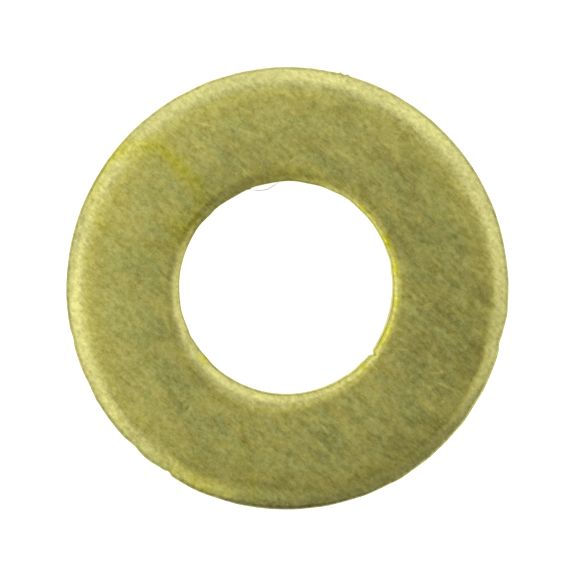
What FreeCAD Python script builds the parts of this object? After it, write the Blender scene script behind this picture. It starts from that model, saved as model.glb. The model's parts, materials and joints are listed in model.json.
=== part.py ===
import FreeCAD, Part
import math
import os

# Brass flat washer for an M4 screw: one ring, blanked and pierced from strip in a single
# press stroke, so both of its cut edges are rolled over on the same face.
#
# Frame: the origin is on the axis of the bore, in the plane of the bottom bearing face.
# +Z is up the bore, towards the face with the rolled edges.  Millimetres throughout.

# Driving dimensions.
outer_diameter = 8.95
bore_diameter = 4.32
thickness = 0.80

# Roll-over: the press draws the top face down into a quarter-ellipse beside each cut.
outer_roll_width = 0.38
outer_roll_depth = 0.15
bore_roll_width = 0.28
bore_roll_depth = 0.12

# Below the roll-over, a cut edge is first a smooth upright land and then a torn zone that
# leans back from it.  Tumbling after the press leaves the bottom corners slightly round.
land_bottom = 0.42 * thickness
tear_lean = 0.03
corner_radius = 0.03

outer_radius = outer_diameter / 2.0
bore_radius = bore_diameter / 2.0


def point(radius, height):
    """A point of the ring's section, which lies in the XZ plane."""
    return FreeCAD.Vector(radius, 0.0, height)


def roll_over(centre, width, depth, start, end):
    """The part from start to end, in radians, of the ellipse about centre."""
    radial_tip = centre + point(width, 0.0)
    axial_tip = centre + point(0.0, depth)
    ellipse = Part.Ellipse(radial_tip, axial_tip, centre)
    return ellipse.toShape(start, end)


def section():
    """The closed outline that makes the ring when it turns about Z."""
    outer_roll = roll_over(point(outer_radius - outer_roll_width, thickness - outer_roll_depth),
                           outer_roll_width, outer_roll_depth, 0.0, math.pi / 2.0)
    bore_roll = roll_over(point(bore_radius + bore_roll_width, thickness - bore_roll_depth),
                          bore_roll_width, bore_roll_depth, math.pi / 2.0, math.pi)
    cut_edges_and_bottom = [
        point(bore_radius, thickness - bore_roll_depth),
        point(bore_radius, land_bottom),
        point(bore_radius + tear_lean, 0.0),
        point(outer_radius - tear_lean, 0.0),
        point(outer_radius, land_bottom),
        point(outer_radius, thickness - outer_roll_depth),
    ]
    straight = [Part.makeLine(start, end)
                for start, end in zip(cut_edges_and_bottom, cut_edges_and_bottom[1:])]
    top = Part.makeLine(point(outer_radius - outer_roll_width, thickness),
                        point(bore_radius + bore_roll_width, thickness))
    return Part.Face(Part.Wire(straight + [outer_roll, top, bore_roll]))


def is_bottom_corner(edge):
    """True for the two circles where the torn zones meet the bottom face."""
    is_circle = isinstance(edge.Curve, Part.Circle)
    return is_circle and abs(edge.BoundBox.ZMax) < corner_radius / 2.0


def flat_washer():
    """The ring: the section turned once round the bore's axis, with its bottom corners rounded."""
    ring = section().revolve(FreeCAD.Vector(0, 0, 0), FreeCAD.Vector(0, 0, 1), 360.0)
    corners = [edge for edge in ring.Edges if is_bottom_corner(edge)]
    return ring.makeFillet(corner_radius, corners)


def export(node, shape):
    """Write one sub-part, after making sure that it is one sound closed solid."""
    if not shape.isValid() or len(shape.Solids) != 1:
        raise RuntimeError(node + " is not one sound solid")
    solid = shape.Solids[0]
    solid.exportStep("parts/" + node + ".step")
    print(node, "volume", round(solid.Volume, 3), "mm3, box", solid.optimalBoundingBox())


os.makedirs("parts", exist_ok=True)
export("flat_washer", flat_washer())
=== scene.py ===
import json
import math

import bpy
import numpy as np
from mathutils import Matrix, Vector, noise


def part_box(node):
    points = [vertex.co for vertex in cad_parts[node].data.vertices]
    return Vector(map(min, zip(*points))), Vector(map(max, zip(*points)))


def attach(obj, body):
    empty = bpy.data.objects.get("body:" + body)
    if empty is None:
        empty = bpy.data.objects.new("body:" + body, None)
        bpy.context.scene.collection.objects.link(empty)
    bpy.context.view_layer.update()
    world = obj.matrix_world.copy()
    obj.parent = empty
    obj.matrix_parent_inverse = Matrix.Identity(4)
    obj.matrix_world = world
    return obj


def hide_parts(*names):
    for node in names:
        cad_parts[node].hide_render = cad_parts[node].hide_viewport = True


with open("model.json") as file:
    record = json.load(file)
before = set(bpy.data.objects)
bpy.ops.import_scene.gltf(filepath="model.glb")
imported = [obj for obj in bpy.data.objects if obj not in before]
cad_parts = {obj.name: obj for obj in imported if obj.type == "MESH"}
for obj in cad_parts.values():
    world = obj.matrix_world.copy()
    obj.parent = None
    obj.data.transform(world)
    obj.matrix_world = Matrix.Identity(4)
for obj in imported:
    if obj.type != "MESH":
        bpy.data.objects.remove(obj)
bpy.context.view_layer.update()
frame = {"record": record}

# Lengths below are in millimetres and angles in degrees, counter-clockwise from +X seen from
# above, until a mesh, lamp or camera is made: MM turns millimetres into the scene's metres.
MM = 0.001
NODE = "flat_washer"

# ---------------------------------------------------------------- sizes, taken from the frame
low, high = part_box(NODE)
outer_radius = (high.x - low.x) / 2.0 / MM
thickness = (high.z - low.z) / MM
mounts = {mount["name"]: mount for mount in frame["record"]["mounts"]}
bore_radius = mounts["bore"]["dims"]["r_mm"]

# ---------------------------------------------------------------- the ring's mesh
# Points round the ring, then points along each zone of its section.
ANGLES = 760
FACE_STATIONS = 56
OUTER_ROLL_STATIONS = 20
BORE_ROLL_STATIONS = 16
LAND_STATIONS = 4
TEAR_STATIONS = 7
CORNER_STATIONS = 3
BOTTOM_STATIONS = 8

# The punch was a little off the blank's centre.
BORE_OFFSET = (-0.021, 0.011)

# The land closes in on the bore by this much once the punch has gone.
BORE_BURNISH = 0.005

# The face is slightly crowned between its two rolled edges.
CROWN = 0.012

# Below the roll-over a cut edge is a smooth land, then a torn zone that leans back.
LAND_BOTTOM = 0.42 * thickness
TEAR_LEAN = 0.03
CORNER = 0.03

# What changes round the ring is the usual value and its changes in places, each of them
# (angle, half width in degrees, change).  First the two roll-overs.
OUTER_ROLL_WIDTH = (0.49, [(62.0, 72.0, 0.16), (325.0, 45.0, -0.17), (258.0, 22.0, 0.10)])
OUTER_ROLL_DEPTH = 0.16
BORE_ROLL_WIDTH = (0.16, [(238.0, 54.0, 0.28), (95.0, 35.0, 0.13), (165.0, 25.0, 0.08)])
BORE_ROLL_DEPTH = (0.070, [(245.0, 50.0, 0.060), (28.0, 35.0, -0.030)])

# A roll-over falls as an ellipse would with a power of 2, and a lower one starts it sooner.
ROLL_POWER = 1.7

# How pale the roll-overs are painted as a sheen where they catch the lamps, left off the side away
# from them, and how dark the outer one's shoulder is painted as shade, most on the side away from
# the lamps and least where they are brightest.
OUTER_SHEEN = (1.0, [(275.0, 62.0, -0.90)])
BORE_SHEEN = (0.1, [(235.0, 75.0, 0.75)])
SHOULDER_SHADE = (0.48, [(285.0, 30.0, 0.32)])
SHOULDER_SHADE_LIFTED = (1.0, [(90.0, 50.0, -0.85)])
SHOULDER_SHADE_START = (0.94, [(270.0, 35.0, -0.10)])

# How far the face waves up and down, and how far the torn metal's lumps stand out.
FACE_WAVES = 0.003
TORN_LUMPS = 0.007

# Both outlines wobble a little: (how far, how long the wobbles are).
WOBBLES = [(0.006, 1.6), (0.0025, 0.35)]

# A shaving that hangs in the bore by its two ends: (angle, distance in from the bore's wall).
BURR = [(94.0, -0.01), (97.5, 0.062), (101.0, 0.112), (104.5, 0.104), (108.0, 0.082), (111.2, 0.02)]
BURR_STATIONS = 48
BURR_SIDES = 10
BURR_HEIGHT = 0.62
BURR_WAVE = 0.05
BURR_HALF_WIDTH = 0.013
BURR_HALF_THICKNESS = 0.007

# A drop that dried near the outer edge left a yellow rim, and a smaller one a yellow spot.
DROP = (-2.85, 1.87)
DROP_RADIUS = 1.08
DROP_RIM_WIDTH = 0.16
DROP_STRENGTH = (0.16, [(42.0, 75.0, 0.52), (140.0, 27.0, 0.50)])
DROP_DENT = (0.0, [(50.0, 35.0, 0.18)])
PUDDLE = (-2.25, 1.30)

# The bore's edge is painted yellow as a reflection of the brass round it, from here up its wall and
# out over its roll-over, fading out.
EDGE_REFLECTION_HEIGHTS = (0.3, 0.5)
EDGE_REFLECTION_REACH = (0.06, 0.19)

# Where the painted yellow reflection on the bore's edge is strongest: (angle, half width in
# degrees, how yellow).
YELLOW_REFLECTIONS = [
    (-46.0, 2.2, 0.6),
    (-29.0, 2.4, 0.55),
    (-23.0, 2.2, 0.5),
    (-6.5, 3.0, 0.6),
    (10.0, 4.0, 0.8),
    (26.0, 3.5, 1.0),
    (47.0, 3.0, 0.6),
    (220.0, 2.8, 0.75),
]

# Broad patches painted lighter or darker: worn and tarnished patches, and painted highlight and
# shade where the face and the roll-overs catch more or less of the lamps:
# (angle, half width in degrees, radius, half reach, how much lighter).
WEAR_AND_SHADING = [
    (27.0, 24.0, 3.92, 0.26, 0.17),
    (268.0, 28.0, 4.13, 0.15, 0.12),
    (202.0, 32.0, 2.50, 0.14, 0.15),
    (7.0, 32.0, 2.80, 0.48, -0.14),
    (343.0, 13.0, 3.20, 0.80, -0.08),
    (150.0, 24.0, 4.25, 0.10, -0.12),
    (225.0, 10.0, 4.25, 0.12, -0.13),
    (282.0, 26.0, 4.34, 0.08, -0.14),
    (332.0, 9.0, 4.30, 0.16, 0.13),
    (40.0, 16.0, 4.18, 0.10, -0.09),
    (318.0, 9.0, 3.50, 0.35, 0.08),
    (120.0, 75.0, 4.40, 0.08, 0.10),
    (42.0, 26.0, 4.39, 0.07, 0.12),
    (45.0, 22.0, 2.42, 0.16, -0.13),
    (166.0, 24.0, 2.35, 0.10, 0.22),
    (195.0, 8.0, 4.38, 0.08, 0.14),
    (104.0, 18.0, 2.34, 0.10, 0.12),
]

# Small ring-shaped dents in the face: (x, y, radius, depth).
DENTS = [(3.05, -2.21, 0.11, 0.0015), (-2.07, -2.38, 0.09, 0.002)]

# Bulges and nicks of the two outlines: (angle, half width in degrees, change of radius).
OUTER_FEATURES = [
    (2.0, 5.0, 0.010),
    (30.0, 14.0, 0.006),
    (74.3, 0.45, 0.034),
    (76.2, 0.45, 0.028),
    (92.0, 12.0, 0.007),
    (145.0, 18.0, -0.003),
    (181.0, 5.0, 0.010),
    (193.0, 1.6, -0.020),
    (205.5, 2.5, -0.012),
    (210.0, 0.8, 0.010),
    (225.5, 2.2, -0.026),
    (230.5, 2.0, 0.006),
    (234.8, 1.8, -0.020),
    (236.9, 0.9, -0.044),
    (246.0, 5.0, 0.018),
    (262.0, 14.0, 0.010),
    (280.0, 2.2, 0.006),
    (290.3, 2.0, 0.007),
    (300.8, 2.2, 0.011),
    (309.1, 2.2, 0.008),
    (322.7, 2.2, 0.010),
    (332.1, 2.2, 0.010),
    (345.3, 1.5, -0.020),
    (347.5, 4.0, -0.026),
    (353.0, 2.5, 0.012),
]
BORE_FEATURES = [
    (14.0, 4.0, 0.014),
    (38.0, 20.0, 0.010),
    (56.0, 6.0, 0.018),
    (79.0, 5.0, -0.012),
    (101.0, 7.0, -0.016),
    (110.8, 0.9, -0.018),
    (119.0, 8.0, -0.028),
    (137.0, 3.5, -0.012),
    (147.0, 5.0, 0.014),
    (170.0, 22.0, 0.020),
    (192.0, 5.0, 0.014),
    (206.0, 3.0, 0.012),
    (221.0, 6.0, -0.014),
    (255.0, 35.0, -0.010),
    (275.0, 14.0, -0.006),
    (308.0, 3.5, 0.010),
    (322.4, 1.1, 0.052),
    (322.0, 9.0, 0.012),
]


def turn(degrees, centre):
    """How far each angle is from centre, the short way round, from -180 to 180 degrees."""
    return (degrees - centre + 180.0) % 360.0 - 180.0


def swell(degrees, centre, half_width):
    """1 at centre, falling smoothly to nearly 0 at twice half_width to each side."""
    return np.exp(-(turn(degrees, centre) / half_width) ** 2)


def varied(degrees, usual, changes):
    """The usual value with its changes, each of which swells round its own angle."""
    result = usual
    for centre, half_width, change in changes:
        result = result + change * swell(degrees, centre, half_width)
    return result


def field(x, y, z, grain, seed):
    """Smooth noise of about -1 to 1 at each point, with lumps about grain across."""
    offset = Vector((7.3, 3.1, 11.7)) * seed
    grids = np.broadcast_arrays(x, y, z)
    flat = zip(*(grid.ravel() / grain for grid in grids))
    values = [noise.noise(Vector(point) + offset) for point in flat]
    return 2.0 * np.array(values).reshape(grids[0].shape)


def around(degrees, radius, grain, seed):
    """Smooth noise of about -1 to 1 along a circle of that radius."""
    angle = np.radians(degrees)
    return field(radius * np.cos(angle), radius * np.sin(angle), 0.0, grain, seed)


def cut_radius(degrees, radius, features, seed):
    """The radius of a cut edge at each angle: a circle with its features and a small wobble."""
    result = radius
    for number, (how_far, grain) in enumerate(WOBBLES):
        result = result + how_far * around(degrees, radius, grain, seed + number)
    return varied(degrees, result, features)


def drop(along):
    """How far the roll-over has dropped, 0 to 1, on its way from the face, 0, to the cut, 1."""
    return 1.0 - np.sqrt(1.0 - np.clip(along, 0.0, 1.0) ** ROLL_POWER)


def step(values, start, end):
    """0 up to start, 1 from end on, and smooth between them."""
    t = np.clip((values - start) / (end - start), 0.0, 1.0)
    return t * t * (3.0 - 2.0 * t)


def parts_of(count):
    """count steps from 0 up to, but not including, 1, as a row."""
    return (np.arange(count) / count)[None, :]


def quarter(count):
    """Angles from 0 up to, but not including, a quarter turn, in radians, as a row."""
    return parts_of(count) * math.pi / 2.0


# The section's zones in order, each with its number of stations, and where each is on the map.
ZONES = (
    ("bore roll", BORE_ROLL_STATIONS),
    ("face", FACE_STATIONS),
    ("outer roll", OUTER_ROLL_STATIONS),
    ("outer cut", LAND_STATIONS + TEAR_STATIONS + CORNER_STATIONS),
    ("bottom", BOTTOM_STATIONS),
    ("bore cut", CORNER_STATIONS + TEAR_STATIONS + LAND_STATIONS),
)
TOP_DISC = 0.44
BOTTOM_DISC = 0.205
TOP_MIDDLE = 0.55
OUTER_STRIP = 0.012
BORE_STRIP = 0.058
STRIP_WIDTH = 0.034
STRIP_MARGIN = 0.01


class Section:
    """The closed section of the ring at every angle, as grids of angle by station.

    x is the radius, z the height, and each mark is a number from 0 to 1 that the material reads.
    """

    MARKS = ("top", "polish", "golden", "grime", "cut", "torn")

    def __init__(self, degrees):
        self.degrees = degrees[:, None]
        self.grids = {name: [] for name in ("radius", "height") + self.MARKS}

    def add(self, radius, height, **marks):
        """Adds a stretch of stations after those that are there."""
        values = {name: 0.0 for name in self.MARKS}
        values.update(marks, radius=radius, height=height)
        shape = np.broadcast_shapes(self.degrees.shape, *(np.shape(v) for v in values.values()))
        for name, value in values.items():
            self.grids[name].append(np.broadcast_to(value, shape))

    def joined(self):
        return {name: np.concatenate(pieces, axis=1) for name, pieces in self.grids.items()}


def ring_section(degrees):
    """All the zones of the section, from the bore's rolled edge outwards and back underneath."""
    section = Section(degrees)
    a = section.degrees
    outer = cut_radius(a, outer_radius, OUTER_FEATURES, 1)
    bore = cut_radius(a, bore_radius - BORE_BURNISH, BORE_FEATURES, 5)
    outer_width = varied(a, *OUTER_ROLL_WIDTH)
    bore_width = varied(a, *BORE_ROLL_WIDTH)
    bore_depth = varied(a, *BORE_ROLL_DEPTH)
    outer_land = LAND_BOTTOM + 0.06 * around(a, outer_radius, grain=0.7, seed=9)
    bore_land = LAND_BOTTOM + 0.05 * around(a, bore_radius, grain=0.6, seed=12)
    # Painted shade on the outer shoulder is uneven, and lifted round the side where the lamps are
    # brightest.
    shoulder_shade = varied(a, *SHOULDER_SHADE) + 0.18 * around(a, outer_radius, grain=0.45, seed=27)
    shoulder_shade = shoulder_shade * varied(a, *SHOULDER_SHADE_LIFTED)
    shade_start = varied(a, *SHOULDER_SHADE_START)
    outer_sheen = varied(a, *OUTER_SHEEN)
    bore_sheen = varied(a, *BORE_SHEEN)

    # A nick in a cut edge doesn't move the border between its roll-over and the face.
    inner_rim = bore_radius + bore_width + 0.02 * around(a, bore_radius, grain=0.8, seed=15)
    outer_rim = outer_radius - outer_width + 0.02 * around(a, outer_radius, grain=0.8, seed=18)
    bore_width = inner_rim - bore
    outer_width = outer - outer_rim
    middle = (inner_rim + outer_rim) / 2.0
    half = (outer_rim - inner_rim) / 2.0

    def crowned(radius):
        return thickness - CROWN * ((radius - middle) / half) ** 2

    # The bore's roll-over, from the cut up to the face, painted paler as sheen where it catches the
    # lamps, with a thin line of painted shade along the cut.
    along = np.cos(quarter(BORE_ROLL_STATIONS))
    radius = inner_rim - bore_width * along
    section.add(radius, crowned(radius) - bore_depth * drop(along), top=1.0,
                polish=bore_sheen * step(along, 0.10, 0.5), golden=1.0 - step(along, 0.3, 1.0),
                grime=0.1 * step(along, 0.93, 1.0))

    # The face.
    across = parts_of(FACE_STATIONS)
    radius = inner_rim + across * (outer_rim - inner_rim)
    golden = step(across, 0.7, 1.0) + step(1.0 - across, 0.88, 1.0)
    section.add(radius, crowned(radius), top=1.0, golden=golden)

    # The outer roll-over, from the face down to the cut, painted paler as sheen where it catches
    # the lamps and painted dark as shade at its steep end.
    along = np.sin(quarter(OUTER_ROLL_STATIONS))
    radius = outer_rim + outer_width * along
    section.add(radius, crowned(radius) - OUTER_ROLL_DEPTH * drop(along), top=1.0,
                polish=outer_sheen * step(along, 0.15, 0.6), golden=1.0 - step(along, 0.2, 0.6),
                grime=shoulder_shade * step(along, shade_start - 0.05, shade_start + 0.06))

    # The outer cut: land, torn zone and bottom corner.
    down = parts_of(LAND_STATIONS)
    outer_top = crowned(outer) - OUTER_ROLL_DEPTH
    # The shoulder's painted shade carries on down over the top of the land.
    section.add(outer, outer_top * (1.0 - down) + outer_land * down, cut=1.0,
                grime=shoulder_shade * (1.0 - step(down, -0.6, 1.0)))
    down = parts_of(TEAR_STATIONS)
    section.add(outer - TEAR_LEAN * down, outer_land * (1.0 - down) + CORNER * down,
                cut=1.0, torn=np.sqrt(down))
    bend = quarter(CORNER_STATIONS)
    section.add(outer - TEAR_LEAN - CORNER * (1.0 - np.cos(bend)), CORNER * (1.0 - np.sin(bend)),
                cut=1.0 - bend / 2.0, torn=1.0 - bend / 2.0)

    # The bottom face, from the outer corner in to the bore's.
    inward = parts_of(BOTTOM_STATIONS)
    bottom_outer = outer - TEAR_LEAN - CORNER
    bottom_inner = bore + TEAR_LEAN + CORNER
    section.add(bottom_outer * (1.0 - inward) + bottom_inner * inward, 0.0)

    # The bore's cut: bottom corner, torn zone and land.
    bend = quarter(CORNER_STATIONS)
    section.add(bore + TEAR_LEAN + CORNER * (1.0 - np.sin(bend)), CORNER * (1.0 - np.cos(bend)),
                cut=bend / 2.0, torn=bend / 2.0)
    up = parts_of(TEAR_STATIONS)
    section.add(bore + TEAR_LEAN * (1.0 - up), CORNER * (1.0 - up) + bore_land * up,
                cut=1.0, torn=np.sqrt(1.0 - up))
    up = parts_of(LAND_STATIONS)
    bore_top = crowned(bore) - bore_depth
    section.add(bore, bore_land * (1.0 - up) + bore_top * up, cut=1.0, golden=1.0)
    return section.joined()


def ring_quads(rows, columns):
    """Quads that join a grid of points which closes on itself both ways."""
    row = np.arange(rows)[:, None]
    column = np.arange(columns)[None, :]
    next_row = (row + 1) % rows
    next_column = (column + 1) % columns
    corners = (row * columns + column, row * columns + next_column,
               next_row * columns + next_column, next_row * columns + column)
    return np.stack(corners, axis=2).reshape(-1, 4)


def stain_marks(x, y):
    """How yellow the dried drops, a run and two spots by the edges have left the top, 0 to 1."""
    wander = 0.04 * field(x, y, 0.0, grain=0.7, seed=31)
    wander = wander + 0.03 * field(x, y, 0.0, grain=0.2, seed=33)
    degrees = np.degrees(np.arctan2(y, x))
    radius = np.hypot(x, y)

    # The dried drop's rim is pushed in on the side where DROP_DENT is.
    way = np.degrees(np.arctan2(y - DROP[1], x - DROP[0]))
    reach = np.hypot(x - DROP[0], y - DROP[1]) / DROP_RADIUS + varied(way, *DROP_DENT) + wander
    drop_rim = varied(way, *DROP_STRENGTH) * np.exp(-((reach - 1.0) / DROP_RIM_WIDTH) ** 2)
    puddle = 0.35 * np.exp(-(np.hypot(x - PUDDLE[0], y - PUDDLE[1]) + wander) ** 2 / 0.08)

    # A faint run winds down the face.
    run = np.exp(-((x + 0.78 - 0.10 * np.sin(2.5 * y) + wander) / 0.10) ** 2)
    run = 0.22 * run * step(-y, 2.2, 2.8)
    olive_rim = 0.40 * swell(degrees, 246.0, 9.0)
    olive_rim = olive_rim * step(radius, outer_radius - 0.5, outer_radius - 0.2)
    beside_bore = 0.35 * swell(degrees, 88.0, 20.0)
    beside_bore = beside_bore * (1.0 - step(radius, bore_radius + 0.1, bore_radius + 0.4))
    return np.clip(drop_rim + puddle + run + olive_rim + beside_bore, 0.0, 1.0)


def wear_and_shading_marks(degrees, radius):
    """How much lighter or darker the broad patches paint the top: wear and tarnish, and painted
    highlight and shade.
    """
    result = 0.0
    for angle, half_width, middle, half_reach, lighter in WEAR_AND_SHADING:
        across = np.exp(-((radius - middle) / half_reach) ** 2)
        result = result + lighter * swell(degrees, angle, half_width) * across
    return result


def edge_reflection(degrees):
    """How strongly the bore's edge is painted yellow as a reflection at each angle, 0 to 1."""
    uneven = 1.0 + around(degrees, bore_radius, grain=0.45, seed=36)
    faint = 0.22 * swell(degrees, 5.0, 50.0) * uneven
    return np.clip(varied(degrees, faint, YELLOW_REFLECTIONS), 0.0, 1.0)


def make_ring():
    """The washer's mesh: its section carried round the ring, with what the material reads."""
    degrees = np.arange(ANGLES) * 360.0 / ANGLES
    grids = ring_section(degrees)
    angle = np.radians(degrees)[:, None]
    radius = grids["radius"]
    height = grids["height"]
    flat_x = radius * np.cos(angle)
    flat_y = radius * np.sin(angle)

    # The bore's offset fades out towards the rim.
    near_bore = 1.0 - step(radius, bore_radius + 0.3, outer_radius - 0.4)
    x = flat_x + BORE_OFFSET[0] * near_bore
    y = flat_y + BORE_OFFSET[1] * near_bore

    # The face isn't quite level and has two dents, and the torn metal is rough.
    height = height + FACE_WAVES * grids["top"] * field(x, y, 0.0, grain=1.1, seed=21)
    for dent_x, dent_y, dent_radius, depth in DENTS:
        reach = np.hypot(x - dent_x, y - dent_y) / dent_radius
        height = height - depth * grids["top"] * np.exp(-((reach - 0.8) / 0.35) ** 2)
    rough = TORN_LUMPS * grids["torn"] * field(x, y, 0.6 * height, grain=0.07, seed=25)
    x = x * (1.0 + rough / radius)
    y = y * (1.0 + rough / radius)

    points = np.stack([x, y, height], axis=2).reshape(-1, 3) * MM
    mesh = bpy.data.meshes.new("washer")
    mesh.from_pydata(points.tolist(), [], ring_quads(*radius.shape).tolist())
    mesh.update()
    mesh.shade_smooth()
    marks = {name: grids[name] for name in Section.MARKS}
    # This mark holds the real stains on the top and a painted yellow reflection up the bore's edge,
    # whichever is stronger.
    near_edge = step(height, *EDGE_REFLECTION_HEIGHTS)
    near_edge = near_edge * (1.0 - step(radius - bore_radius, *EDGE_REFLECTION_REACH))
    marks["stain"] = np.maximum(grids["top"] * stain_marks(x, y),
                                near_edge * edge_reflection(degrees[:, None]))
    # Broad patches of painted highlight and shade, and of wear and tarnish, on the top.
    marks["wear"] = grids["top"] * wear_and_shading_marks(degrees[:, None], radius)
    for name, grid in marks.items():
        layer = mesh.attributes.new(name, "FLOAT", "POINT")
        layer.data.foreach_set("value", grid.astype(np.float32).ravel())
    unwrap(mesh, degrees, radius.shape[1], points)
    piece = bpy.data.objects.new("washer", mesh)
    bpy.context.scene.collection.objects.link(piece)
    return piece


def unwrap(mesh, degrees, columns, points):
    """A map for baked textures: the top as a large disc, the bottom as a small one inside its
    hole, and the two cut edges as strips along the lower side."""
    loop_points = np.zeros(len(mesh.loops), dtype=np.int64)
    mesh.loops.foreach_get("vertex_index", loop_points)
    row, column = np.divmod(loop_points, columns)
    quad_row = np.repeat(np.arange(len(mesh.polygons)) // columns, 4)
    quad_column = np.repeat(np.arange(len(mesh.polygons)) % columns, 4)
    row = np.where((row == 0) & (quad_row > 0), ANGLES, row)
    x, y, z = (points[loop_points] / MM).T
    starts = {}
    start = 0
    for zone, stations in ZONES:
        starts[zone] = start
        start += stations
    is_outer = (quad_column >= starts["outer cut"]) & (quad_column < starts["bottom"])
    is_bottom = (quad_column >= starts["bottom"]) & (quad_column < starts["bore cut"])
    is_bore = quad_column >= starts["bore cut"]
    u = 0.5 + TOP_DISC * x / outer_radius
    v = TOP_MIDDLE + TOP_DISC * y / outer_radius
    u = np.where(is_bottom, 0.5 - BOTTOM_DISC * x / outer_radius, u)
    v = np.where(is_bottom, TOP_MIDDLE + BOTTOM_DISC * y / outer_radius, v)
    for chosen, base in ((is_outer, OUTER_STRIP), (is_bore, BORE_STRIP)):
        u = np.where(chosen, STRIP_MARGIN + (1.0 - 2.0 * STRIP_MARGIN) * row / ANGLES, u)
        v = np.where(chosen, base + STRIP_WIDTH * z / thickness, v)
    layer = mesh.uv_layers.new(name="OFBake")
    layer.data.foreach_set("uv", np.stack([u, v], axis=1).ravel())


def make_burr():
    """The shaving in the bore: a thin flat thread that tapers into the wall at both ends."""
    turns = np.array([angle for angle, _ in BURR])
    insets = np.array([inset for _, inset in BURR])
    t = np.linspace(0.0, 1.0, BURR_STATIONS)
    degrees = np.interp(t, np.linspace(0.0, 1.0, len(BURR)), turns)
    # Averaging each place with its neighbours rounds the thread's corners.
    inset = np.interp(degrees, turns, insets)
    for _ in range(6):
        inset[1:-1] = (inset[:-2] + 2.0 * inset[1:-1] + inset[2:]) / 4.0
    angle = np.radians(degrees)
    radius = cut_radius(degrees, bore_radius - BORE_BURNISH, BORE_FEATURES, 5) - inset
    height = BURR_HEIGHT + BURR_WAVE * np.sin(3.0 * math.pi * t)
    taper = 0.25 + 0.75 * np.sin(math.pi * np.clip(t * 1.15, 0.0, 1.0)) ** 0.5
    rounds = np.arange(BURR_SIDES) * 2.0 * math.pi / BURR_SIDES
    across = (BURR_HALF_THICKNESS * taper)[:, None] * np.cos(rounds)[None, :]
    along_z = (BURR_HALF_WIDTH * taper)[:, None] * np.sin(rounds)[None, :]
    r = radius[:, None] + across
    x = r * np.cos(angle)[:, None] + BORE_OFFSET[0]
    y = r * np.sin(angle)[:, None] + BORE_OFFSET[1]
    z = height[:, None] + along_z
    points = np.stack([x, y, z], axis=2).reshape(-1, 3) * MM
    faces = []
    last = (BURR_STATIONS - 1) * BURR_SIDES
    for start in range(0, last, BURR_SIDES):
        for side in range(BURR_SIDES):
            here = start + side
            beside = start + (side + 1) % BURR_SIDES
            faces.append((here, here + BURR_SIDES, beside + BURR_SIDES, beside))
    faces.append(tuple(range(BURR_SIDES)))
    faces.append(tuple(reversed(range(last, last + BURR_SIDES))))
    mesh = bpy.data.meshes.new("bore_burr")
    mesh.from_pydata(points.tolist(), [], faces)
    mesh.update()
    mesh.shade_smooth()
    for name, value in (("cut", 1.0), ("grime", 0.6)):
        layer = mesh.attributes.new(name, "FLOAT", "POINT")
        layer.data.foreach_set("value", np.full(len(points), value, dtype=np.float32))
    piece = bpy.data.objects.new("bore_burr", mesh)
    bpy.context.scene.collection.objects.link(piece)
    return piece


# ---------------------------------------------------------------- the brass
FACE_GREEN = (0.462, 0.458, 0.130)
FACE_OCHRE = (0.508, 0.466, 0.123)
GOLDEN = (0.490, 0.449, 0.105)
# A paler brass painted on the roll-overs as the sheen of their highlights.
RUBBED_SHEEN = (0.485, 0.465, 0.172)
# Yellow for the real stains and for the painted reflection along the bore's edge.
STAIN_AND_REFLECTION = (0.475, 0.447, 0.030)
# Dark colour for painted shade at the outer roll-over's steep end, on the top of the land and along
# the bore's edge; it also darkens the burr.
GRIME_AND_SHADE = (0.180, 0.175, 0.080)
CUT = (0.400, 0.382, 0.135)
FINE_GRAIN = (1.0, 0.98, 0.50)
GRAIN_ANGLE = 139.0

# Scratches on the face: (start x, start y, end x, end y, half width, how much lighter).
SCRATCHES = [
    (-1.09, 3.25, -0.38, 3.01, 0.028, 0.20),
    (-1.00, 2.49, -0.77, 2.27, 0.026, 0.28),
    (-1.86, 3.35, -1.57, 3.28, 0.026, 0.20),
    (-1.93, 2.86, -1.60, 2.89, 0.026, 0.14),
    (-0.62, 2.93, -0.30, 2.76, 0.024, 0.14),
    (-0.72, 3.40, -0.20, 3.18, 0.024, 0.12),
    (0.14, 3.34, 0.35, 3.31, 0.026, 0.22),
    (-0.04, 3.19, 0.11, 3.22, 0.024, 0.18),
    (0.05, 2.57, 0.14, 2.63, 0.026, 0.26),
    (3.35, 1.90, 3.77, 1.94, 0.024, 0.14),
    (2.64, -0.39, 2.99, -0.27, 0.026, 0.24),
    (2.86, -1.70, 3.10, -1.71, 0.024, 0.20),
    (3.12, -1.66, 3.04, -1.76, 0.022, 0.14),
    (3.05, -1.91, 3.28, -2.04, 0.028, 0.42),
    (2.22, -1.01, 2.33, -1.06, 0.026, 0.26),
    (2.19, -1.22, 2.49, -1.25, 0.024, 0.22),
    (1.30, -3.87, 1.48, -4.02, 0.026, 0.24),
    (0.30, -3.35, 0.34, -3.38, 0.034, 0.30),
    (-3.56, -0.18, -3.44, -0.27, 0.036, 0.24),
    (-2.16, -2.30, -2.05, -2.44, 0.036, -0.16),
    (-2.05, -2.44, -1.97, -2.28, 0.030, -0.12),
    (-4.17, 1.34, -4.13, 1.45, 0.055, -0.25),
    (3.18, -0.70, 3.40, -0.68, 0.024, -0.16),
]

# Faint rings that something round has pressed: (x, y, radius, how much lighter).
RINGS = [(3.05, -2.21, 0.11, 0.09), (2.62, -2.52, 0.16, 0.05), (1.75, -2.95, 0.20, 0.05)]

# Noise shakes the scratches by up to this much, and by half of it on the average.
SHAKE = 0.05

# How strongly each kind of noise lightens and darkens the face.
MOTTLE_GAIN = 0.61
STREAK_GAIN = 0.24
BRUSHED_GAIN = 0.18
CUT_GAIN = 0.8
SPECK_GAIN = 0.45


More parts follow.
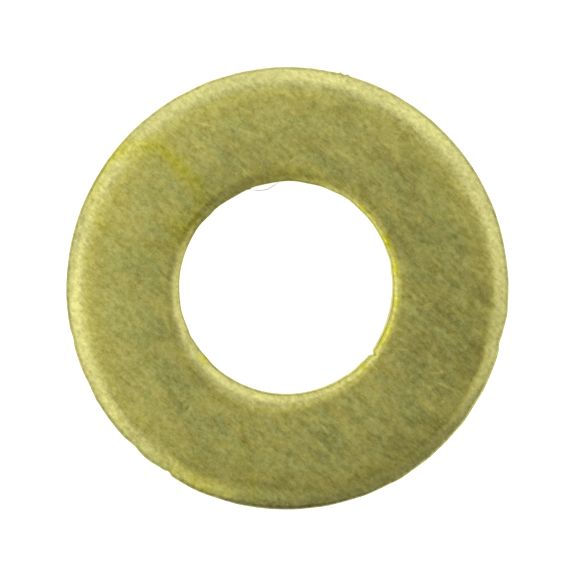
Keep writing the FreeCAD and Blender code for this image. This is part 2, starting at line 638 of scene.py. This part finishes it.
class Nodes:
    """Short ways to add and join the nodes of one material."""

    def __init__(self, material):
        material.use_nodes = True
        self.tree = material.node_tree

    def feed(self, socket, value):
        if isinstance(value, bpy.types.NodeSocket):
            self.tree.links.new(value, socket)
        elif isinstance(value, tuple) and len(value) == 3 and socket.type == "RGBA":
            socket.default_value = value + (1.0,)
        else:
            socket.default_value = value

    def add(self, kind, inputs, **settings):
        made = self.tree.nodes.new(kind)
        for name, value in settings.items():
            setattr(made, name, value)
        for name, value in inputs.items():
            self.feed(made.inputs[name], value)
        return made

    def math(self, operation, a, b=0.0, c=0.0):
        made = self.add("ShaderNodeMath", {0: a, 1: b, 2: c}, operation=operation)
        return made.outputs[0]

    def mark(self, name):
        made = self.add("ShaderNodeAttribute", {}, attribute_name=name)
        return made.outputs["Fac"]

    def noise(self, place, scale, detail, roughness=0.5):
        made = self.add("ShaderNodeTexNoise", {"Vector": place, "Scale": scale,
                                               "Detail": detail, "Roughness": roughness})
        return made.outputs["Fac"]

    def noise_colour(self, place, scale):
        """Three noises at once, as a colour's channels."""
        made = self.add("ShaderNodeTexNoise", {"Vector": place, "Scale": scale})
        return made.outputs["Color"]

    def mix_numbers(self, amount, a, b):
        made = self.add("ShaderNodeMix", {0: amount, 2: a, 3: b})
        return made.outputs[0]

    def place(self, vector, location=(0, 0, 0), turned=0.0, size=(1, 1, 1)):
        """vector measured from location, along axes turned about Z, in units of size."""
        made = self.add("ShaderNodeMapping",
                        {"Vector": vector, "Location": location,
                         "Rotation": (0.0, 0.0, math.radians(turned)), "Scale": size},
                        vector_type="TEXTURE")
        return made.outputs["Vector"]

    def ramp(self, value, start, end, low_value=0.0, high_value=1.0):
        made = self.add("ShaderNodeMapRange",
                        {"Value": value, "From Min": start, "From Max": end,
                         "To Min": low_value, "To Max": high_value},
                        interpolation_type="SMOOTHSTEP")
        return made.outputs["Result"]

    def mix(self, amount, a, b):
        # A Mix node keeps its colours in sockets 6 and 7, and gives their mix in output 2.
        made = self.add("ShaderNodeMix", {0: amount, 6: a, 7: b}, data_type="RGBA")
        return made.outputs[2]

    def around_half(self, value, gain, base):
        """base, plus gain for each 1 that value is above a half."""
        return self.math("MULTIPLY_ADD", self.math("SUBTRACT", value, 0.5), gain, base)


def scratch_marks(nodes, place):
    """How much lighter or darker each point is for the scratches and the rings."""
    distortion = nodes.noise_colour(place, scale=9.0)
    shaken = nodes.add("ShaderNodeVectorMath", {0: distortion, 1: (SHAKE, SHAKE, 0.0), 2: place},
                       operation="MULTIPLY_ADD").outputs["Vector"]
    total = 0.0
    for start_x, start_y, end_x, end_y, half_width, lighter in SCRATCHES:
        half_length = math.hypot(end_x - start_x, end_y - start_y) / 2.0 + half_width
        turned = math.degrees(math.atan2(end_y - start_y, end_x - start_x))
        middle = ((start_x + end_x + SHAKE) / 2.0, (start_y + end_y + SHAKE) / 2.0, 0.0)
        local = nodes.place(shaken, middle, turned, (half_length, half_width, 1000.0))
        reach = nodes.add("ShaderNodeVectorMath", {0: local}, operation="LENGTH")
        mark = nodes.ramp(reach.outputs["Value"], 0.3, 1.3, lighter, 0.0)
        total = nodes.math("ADD", mark, total)
    for x, y, radius, lighter in RINGS:
        middle = (x + SHAKE / 2.0, y + SHAKE / 2.0, 0.0)
        local = nodes.place(shaken, middle, 0.0, (radius, radius, 1000.0))
        reach = nodes.add("ShaderNodeVectorMath", {0: local}, operation="LENGTH")
        off = nodes.math("ABSOLUTE", nodes.math("SUBTRACT", reach.outputs["Value"], 1.0))
        total = nodes.math("ADD", nodes.ramp(off, 0.1, 0.4, lighter, 0.0), total)
    return nodes.math("MULTIPLY", total, nodes.mark("top"))


def brass():
    """Dull tumbled brass, painted paler as sheen where the roll-overs catch the lamps and painted
    darker as shade on the outer shoulder away from them.
    """
    material = bpy.data.materials.new("brass")
    nodes = Nodes(material)
    shader = nodes.tree.nodes["Principled BSDF"]
    shader.inputs["Metallic"].default_value = 1.0
    shader.inputs["Specular Tint"].default_value = (0.95, 0.90, 0.50, 1.0)

    metres = nodes.add("ShaderNodeTexCoord", {}).outputs["Object"]
    place = nodes.add("ShaderNodeVectorMath", {0: metres, "Scale": 1.0 / MM},
                      operation="SCALE").outputs["Vector"]
    mild = nodes.place(place, turned=GRAIN_ANGLE, size=(2.5, 1.0, 1.0))
    fine = nodes.place(place, turned=GRAIN_ANGLE, size=(1.3, 1.0, 1.0))
    long = nodes.place(place, turned=GRAIN_ANGLE, size=(9.0, 1.0, 1.0))
    upright = nodes.place(place, size=(1.0, 1.0, 25.0))

    # Tumbled brass: lumps of every size from a millimetre down, drawn out along the grain.
    mottle = nodes.noise(mild, scale=2.6, detail=3.4, roughness=0.92)
    streak = nodes.noise(long, scale=22.0, detail=1.0, roughness=0.6)
    brushed = nodes.noise(long, scale=8.0, detail=2.0, roughness=0.7)
    grain = nodes.noise(fine, scale=12.0, detail=1.5, roughness=0.8)
    elsewhere = nodes.place(mild, location=(5.0, 9.0, 2.0))
    hue = nodes.noise(elsewhere, scale=2.8, detail=3.0, roughness=0.9)
    lines = nodes.noise(upright, scale=9.0, detail=3.0, roughness=0.6)
    grit = nodes.noise(place, scale=16.0, detail=3.0, roughness=0.7)
    cut = nodes.mark("cut")
    torn = nodes.mark("torn")

    tone = nodes.around_half(mottle, MOTTLE_GAIN, 1.0)
    tone = nodes.around_half(streak, STREAK_GAIN, tone)
    tone = nodes.around_half(brushed, BRUSHED_GAIN, tone)
    # Painted sheen: the mottle is evened out where the roll-overs catch the lamps.
    tone = nodes.mix_numbers(nodes.math("MULTIPLY", nodes.mark("polish"), 0.35), tone, 1.0)
    tone = nodes.math("ADD", scratch_marks(nodes, place), tone)
    # Broad patches of painted highlight and shade, and of wear and tarnish.
    tone = nodes.math("ADD", nodes.mark("wear"), tone)
    cut_tone = nodes.around_half(nodes.mix(torn, lines, grit), CUT_GAIN, 1.0)

    colour = nodes.mix(nodes.ramp(hue, 0.42, 0.58), FACE_GREEN, FACE_OCHRE)
    colour = nodes.mix(nodes.math("MULTIPLY", nodes.mark("golden"), 0.7), colour, GOLDEN)
    # Painted sheen: paler brass on the roll-overs where they catch the lamps.
    colour = nodes.mix(nodes.mark("polish"), colour, RUBBED_SHEEN)
    # Real stains from dried drops, and a painted yellow reflection along the bore's edge.
    blotchy = nodes.math("MULTIPLY", nodes.mark("stain"), nodes.ramp(mottle, 0.35, 0.6, 0.85, 1.1))
    colour = nodes.mix(nodes.math("MINIMUM", blotchy, 1.0), colour, STAIN_AND_REFLECTION)
    colour = nodes.mix(cut, colour, CUT)
    # Painted shade along the outer shoulder and the bore's edge, and a darker burr.
    colour = nodes.mix(nodes.mark("grime"), colour, GRIME_AND_SHADE)
    shade = nodes.math("MULTIPLY", tone, nodes.mix_numbers(cut, 1.0, cut_tone))
    toned = nodes.add("ShaderNodeVectorMath", {0: colour, "Scale": shade}, operation="SCALE")
    # The finest grain is paler than the metal under it, so it is added and doesn't multiply.
    speck = nodes.around_half(grain, SPECK_GAIN, 0.0)
    speckled = nodes.add("ShaderNodeVectorMath",
                         {0: FINE_GRAIN, 1: speck, 2: toned.outputs["Vector"]},
                         operation="MULTIPLY_ADD")
    nodes.feed(shader.inputs["Base Color"], speckled.outputs["Vector"])

    roughness = nodes.around_half(mottle, 0.30, 0.28)
    roughness = nodes.math("MULTIPLY_ADD", torn, 0.25, roughness)
    nodes.feed(shader.inputs["Roughness"], roughness)

    relief = nodes.mix_numbers(cut, brushed, nodes.mix(torn, lines, grit))
    bump = nodes.add("ShaderNodeBump", {"Strength": 0.5, "Distance": 0.002 * MM, "Height": relief})
    nodes.feed(shader.inputs["Normal"], bump.outputs["Normal"])
    return material


# ---------------------------------------------------------------- light, floor and camera
WORLD_STRENGTH = 0.265
LAMP_DISTANCE = 180.0
LAMP_SIZE = 104.0
LOW_ELEVATION = 20.0
MIDDLE_ELEVATION = 48.0

FLOOR_HALF_SIZE = 600.0
FLOOR_GAP = 0.002
FLOOR_GLOW = 0.78

# The camera leans from straight above by these angles, and aims just beside the bore's axis.
LENS = 300.0
LEAN_LEFT = 3.0
LEAN_UP = 1.5
AIM_BESIDE = (0.0024, 0.0018)
WASHER_SHARE_OF_VIEW = 0.7663


def softbox(name, azimuth, elevation, distance, size, radiance):
    """A square lamp that faces the washer. radiance is how bright its surface is."""
    light = bpy.data.lights.new(name, "AREA")
    light.shape = "SQUARE"
    light.size = size * MM
    light.energy = radiance * math.pi * (size * MM) ** 2
    lamp = bpy.data.objects.new(name, light)
    a = math.radians(azimuth)
    e = math.radians(elevation)
    way = Vector((math.cos(a) * math.cos(e), math.sin(a) * math.cos(e), math.sin(e)))
    lamp.location = way * distance * MM
    lamp.rotation_euler = (-way).to_track_quat("-Z", "Y").to_euler()
    lamp.visible_camera = False
    bpy.context.scene.collection.objects.link(lamp)


# The tent's pairs of softboxes: (azimuth, radiance of the low one, radiance of the middle one).
TENT = [
    (-8.0, 0.68, 0.70),
    (27.0, 0.62, 0.70),
    (62.0, 0.65, 0.78),
    (97.0, 0.75, 0.78),
    (132.0, 0.78, 0.68),
    (167.0, 0.70, 0.73),
    (202.0, 0.68, 0.88),
    (237.0, 0.58, 0.74),
    (272.0, 0.12, 0.09),
    (307.0, 0.14, 0.11),
]


def light_studio():
    """A tent of softboxes, weak along the lower side of the view, with two more overhead."""
    world = bpy.data.worlds.new("studio")
    world.use_nodes = True
    background = world.node_tree.nodes["Background"]
    background.inputs["Color"].default_value = (1.0, 1.0, 1.0, 1.0)
    background.inputs["Strength"].default_value = WORLD_STRENGTH
    bpy.context.scene.world = world
    for azimuth, low_radiance, middle_radiance in TENT:
        softbox("low_%d" % azimuth, azimuth, LOW_ELEVATION, LAMP_DISTANCE, LAMP_SIZE, low_radiance)
        softbox("middle_%d" % azimuth, azimuth, MIDDLE_ELEVATION, LAMP_DISTANCE, LAMP_SIZE,
                middle_radiance)
    softbox("overhead", azimuth=160.0, elevation=74.2, distance=200.0, size=130.0, radiance=0.72)
    softbox("high", azimuth=50.0, elevation=66.0, distance=190.0, size=LAMP_SIZE, radiance=0.25)


def floor():
    """A plain pale floor, just under the washer."""
    size = FLOOR_HALF_SIZE * MM
    mesh = bpy.data.meshes.new("floor")
    mesh.from_pydata([(-size, -size, 0), (size, -size, 0), (size, size, 0), (-size, size, 0)],
                     [], [(0, 1, 2, 3)])
    piece = bpy.data.objects.new("floor", mesh)
    bpy.context.scene.collection.objects.link(piece)
    material = bpy.data.materials.new("pale_floor")
    nodes = Nodes(material)
    shader = nodes.tree.nodes["Principled BSDF"]
    nodes.feed(shader.inputs["Base Color"], (0.6, 0.6, 0.6))
    nodes.feed(shader.inputs["Roughness"], 0.9)
    nodes.feed(shader.inputs["Emission Color"], (1.0, 1.0, 1.0))
    nodes.feed(shader.inputs["Emission Strength"], FLOOR_GLOW)
    mesh.materials.append(material)
    piece.location.z = -FLOOR_GAP * MM


def camera():
    """A long lens above the washer, a little to the left and towards the top of the view."""
    data = bpy.data.cameras.new("camera")
    data.lens = LENS
    eye = bpy.data.objects.new("camera", data)
    bpy.context.scene.collection.objects.link(eye)
    sideways = -math.tan(math.radians(LEAN_LEFT))
    upwards = math.tan(math.radians(LEAN_UP))
    way = Vector((sideways, upwards, 1.0)).normalized()
    aim = Vector((*AIM_BESIDE, 0.5 * thickness)) * MM
    shown_height = 2.0 * outer_radius / WASHER_SHARE_OF_VIEW
    distance = shown_height * data.lens / data.sensor_width
    eye.location = aim + way * distance * MM
    right = Vector((0.0, 1.0, 0.0)).cross(way).normalized()
    up = way.cross(right)
    eye.rotation_euler = Matrix((right, up, way)).transposed().to_euler()
    data.clip_start = 1.0 * MM
    data.clip_end = 2000.0 * MM
    bpy.context.scene.camera = eye


bpy.context.scene.view_settings.view_transform = "Standard"
washer = make_ring()
washer.data.materials.append(brass())
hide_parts(NODE)
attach(washer, "root")
burr = make_burr()
burr.data.materials.append(washer.data.materials[0])
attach(burr, "root")
light_studio()
floor()
camera()
